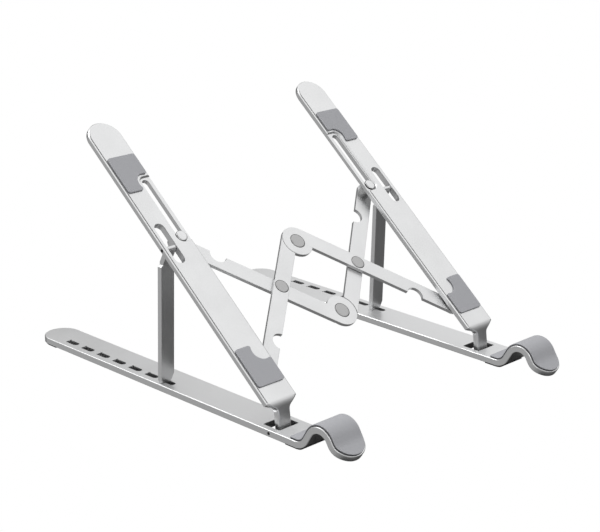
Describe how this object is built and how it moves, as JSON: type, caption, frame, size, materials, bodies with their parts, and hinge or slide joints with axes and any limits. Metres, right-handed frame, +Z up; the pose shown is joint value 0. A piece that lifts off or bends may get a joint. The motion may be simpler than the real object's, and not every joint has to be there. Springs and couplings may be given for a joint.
{
  "type": "folding laptop stand",
  "caption": "Folding aluminium laptop stand: hooked base bars, sloping arms held up by props in height slots, and a scissor of cross bars that closes the two sides together.",
  "frame": {"origin": "centre of the stand's bounding box on the desk", "axes": "+X across the stand to its right side, +Y towards the back end of the base bars, +Z up; the hooks are at -Y"},
  "size_m": [0.1922, 0.2565, 0.1435],
  "materials": {
    "bar": "satin, bead blasted and anodised silver",
    "cross_metal": "satin, bead blasted and anodised silver",
    "silicone": "matte grey silicone",
    "rubber": "matte black",
    "steel": "satin",
    "rivet": "satin, turned"
  },
  "bodies": {
    "base_left": {"base_bar_left": "bar", "hook_skin_left": "silicone", "back_foot_left": "rubber", "front_foot_left": "rubber", "hinge_pin_left": "steel"},
    "arm_left": {"arm_left": "bar", "upper_pad_left": "silicone", "lower_pad_left": "silicone", "prop_pin_left": "steel", "pivot_pin_left": "steel", "pivot_spacer_left": "steel"},
    "prop_left": {"prop_left": "cross_metal"},
    "pivot_bar_left": {"pivot_bar_left": "cross_metal", "middle_rivet_left": "rivet", "upper_centre_rivet": "rivet"},
    "slider_bar_left": {"slider_bar_left": "cross_metal", "slider_pin_left": "steel", "slider_collar_left": "steel", "lower_centre_rivet": "rivet"},
    "base_right": {"base_bar_right": "bar", "hook_skin_right": "silicone", "back_foot_right": "rubber", "front_foot_right": "rubber", "hinge_pin_right": "steel"},
    "arm_right": {"arm_right": "bar", "upper_pad_right": "silicone", "lower_pad_right": "silicone", "prop_pin_right": "steel", "pivot_pin_right": "steel", "pivot_spacer_right": "steel"},
    "prop_right": {"prop_right": "cross_metal"},
    "pivot_bar_right": {"pivot_bar_right": "cross_metal", "middle_rivet_right": "rivet"},
    "slider_bar_right": {"slider_bar_right": "cross_metal", "slider_pin_right": "steel", "slider_collar_right": "steel"}
  },
  "joints": [
    {"name": "tilt", "type": "hinge", "parent": "base_left", "child": "arm_left", "pos_m": [-0.08482, -0.07291, 0.0028], "axis": [1, 0, 0], "range_deg": [0, 36]},
    {"name": "width", "type": "hinge", "parent": "arm_left", "child": "pivot_bar_left", "pos_m": [-0.07847, -0.05424, 0.02765], "axis": [0, -0.6361, 0.7716], "range_deg": [0, 44.7]},
    {"name": "centre_hinge", "type": "hinge", "parent": "pivot_bar_left", "child": "pivot_bar_right", "pos_m": [0, 0.00075, 0.07298], "axis": [0, -0.6361, 0.7716], "range_deg": [-89.4, 0]},
    {"name": "right_pivot", "type": "hinge", "parent": "pivot_bar_right", "child": "arm_right", "pos_m": [0.07847, -0.05424, 0.02765], "axis": [0, -0.6361, 0.7716], "range_deg": [0, 44.7]},
    {"name": "right_tilt", "type": "hinge", "parent": "arm_right", "child": "base_right", "pos_m": [0.08482, -0.07291, 0.0028], "axis": [1, 0, 0], "range_deg": [-36, 0]},
    {"name": "left_crossing", "type": "hinge", "parent": "pivot_bar_left", "child": "slider_bar_left", "pos_m": [-0.03209, -0.01705, 0.05546], "axis": [0, -0.6361, 0.7716], "range_deg": [-89.4, 0]},
    {"name": "right_crossing", "type": "hinge", "parent": "pivot_bar_right", "child": "slider_bar_right", "pos_m": [0.03209, -0.01705, 0.05546], "axis": [0, -0.6361, 0.7716], "range_deg": [0, 89.4]},
    {"name": "left_prop_fold", "type": "hinge", "parent": "arm_left", "child": "prop_left", "pos_m": [-0.08982, 0.01161, 0.08531], "axis": [1, 0, 0], "range_deg": [-50.4, 0]},
    {"name": "right_prop_fold", "type": "hinge", "parent": "arm_right", "child": "prop_right", "pos_m": [0.08982, 0.01161, 0.08531], "axis": [1, 0, 0], "range_deg": [-50.4, 0]}
  ],
  "couplings": [
    {"joint": "centre_hinge", "follows": "width", "ratio": -2},
    {"joint": "right_pivot", "follows": "width", "ratio": 1},
    {"joint": "left_crossing", "follows": "width", "ratio": -2},
    {"joint": "right_crossing", "follows": "width", "ratio": 2},
    {"joint": "right_tilt", "follows": "tilt", "ratio": -1},
    {"joint": "left_prop_fold", "follows": "tilt", "ratio": -1.4},
    {"joint": "right_prop_fold", "follows": "tilt", "ratio": -1.4}
  ]
}
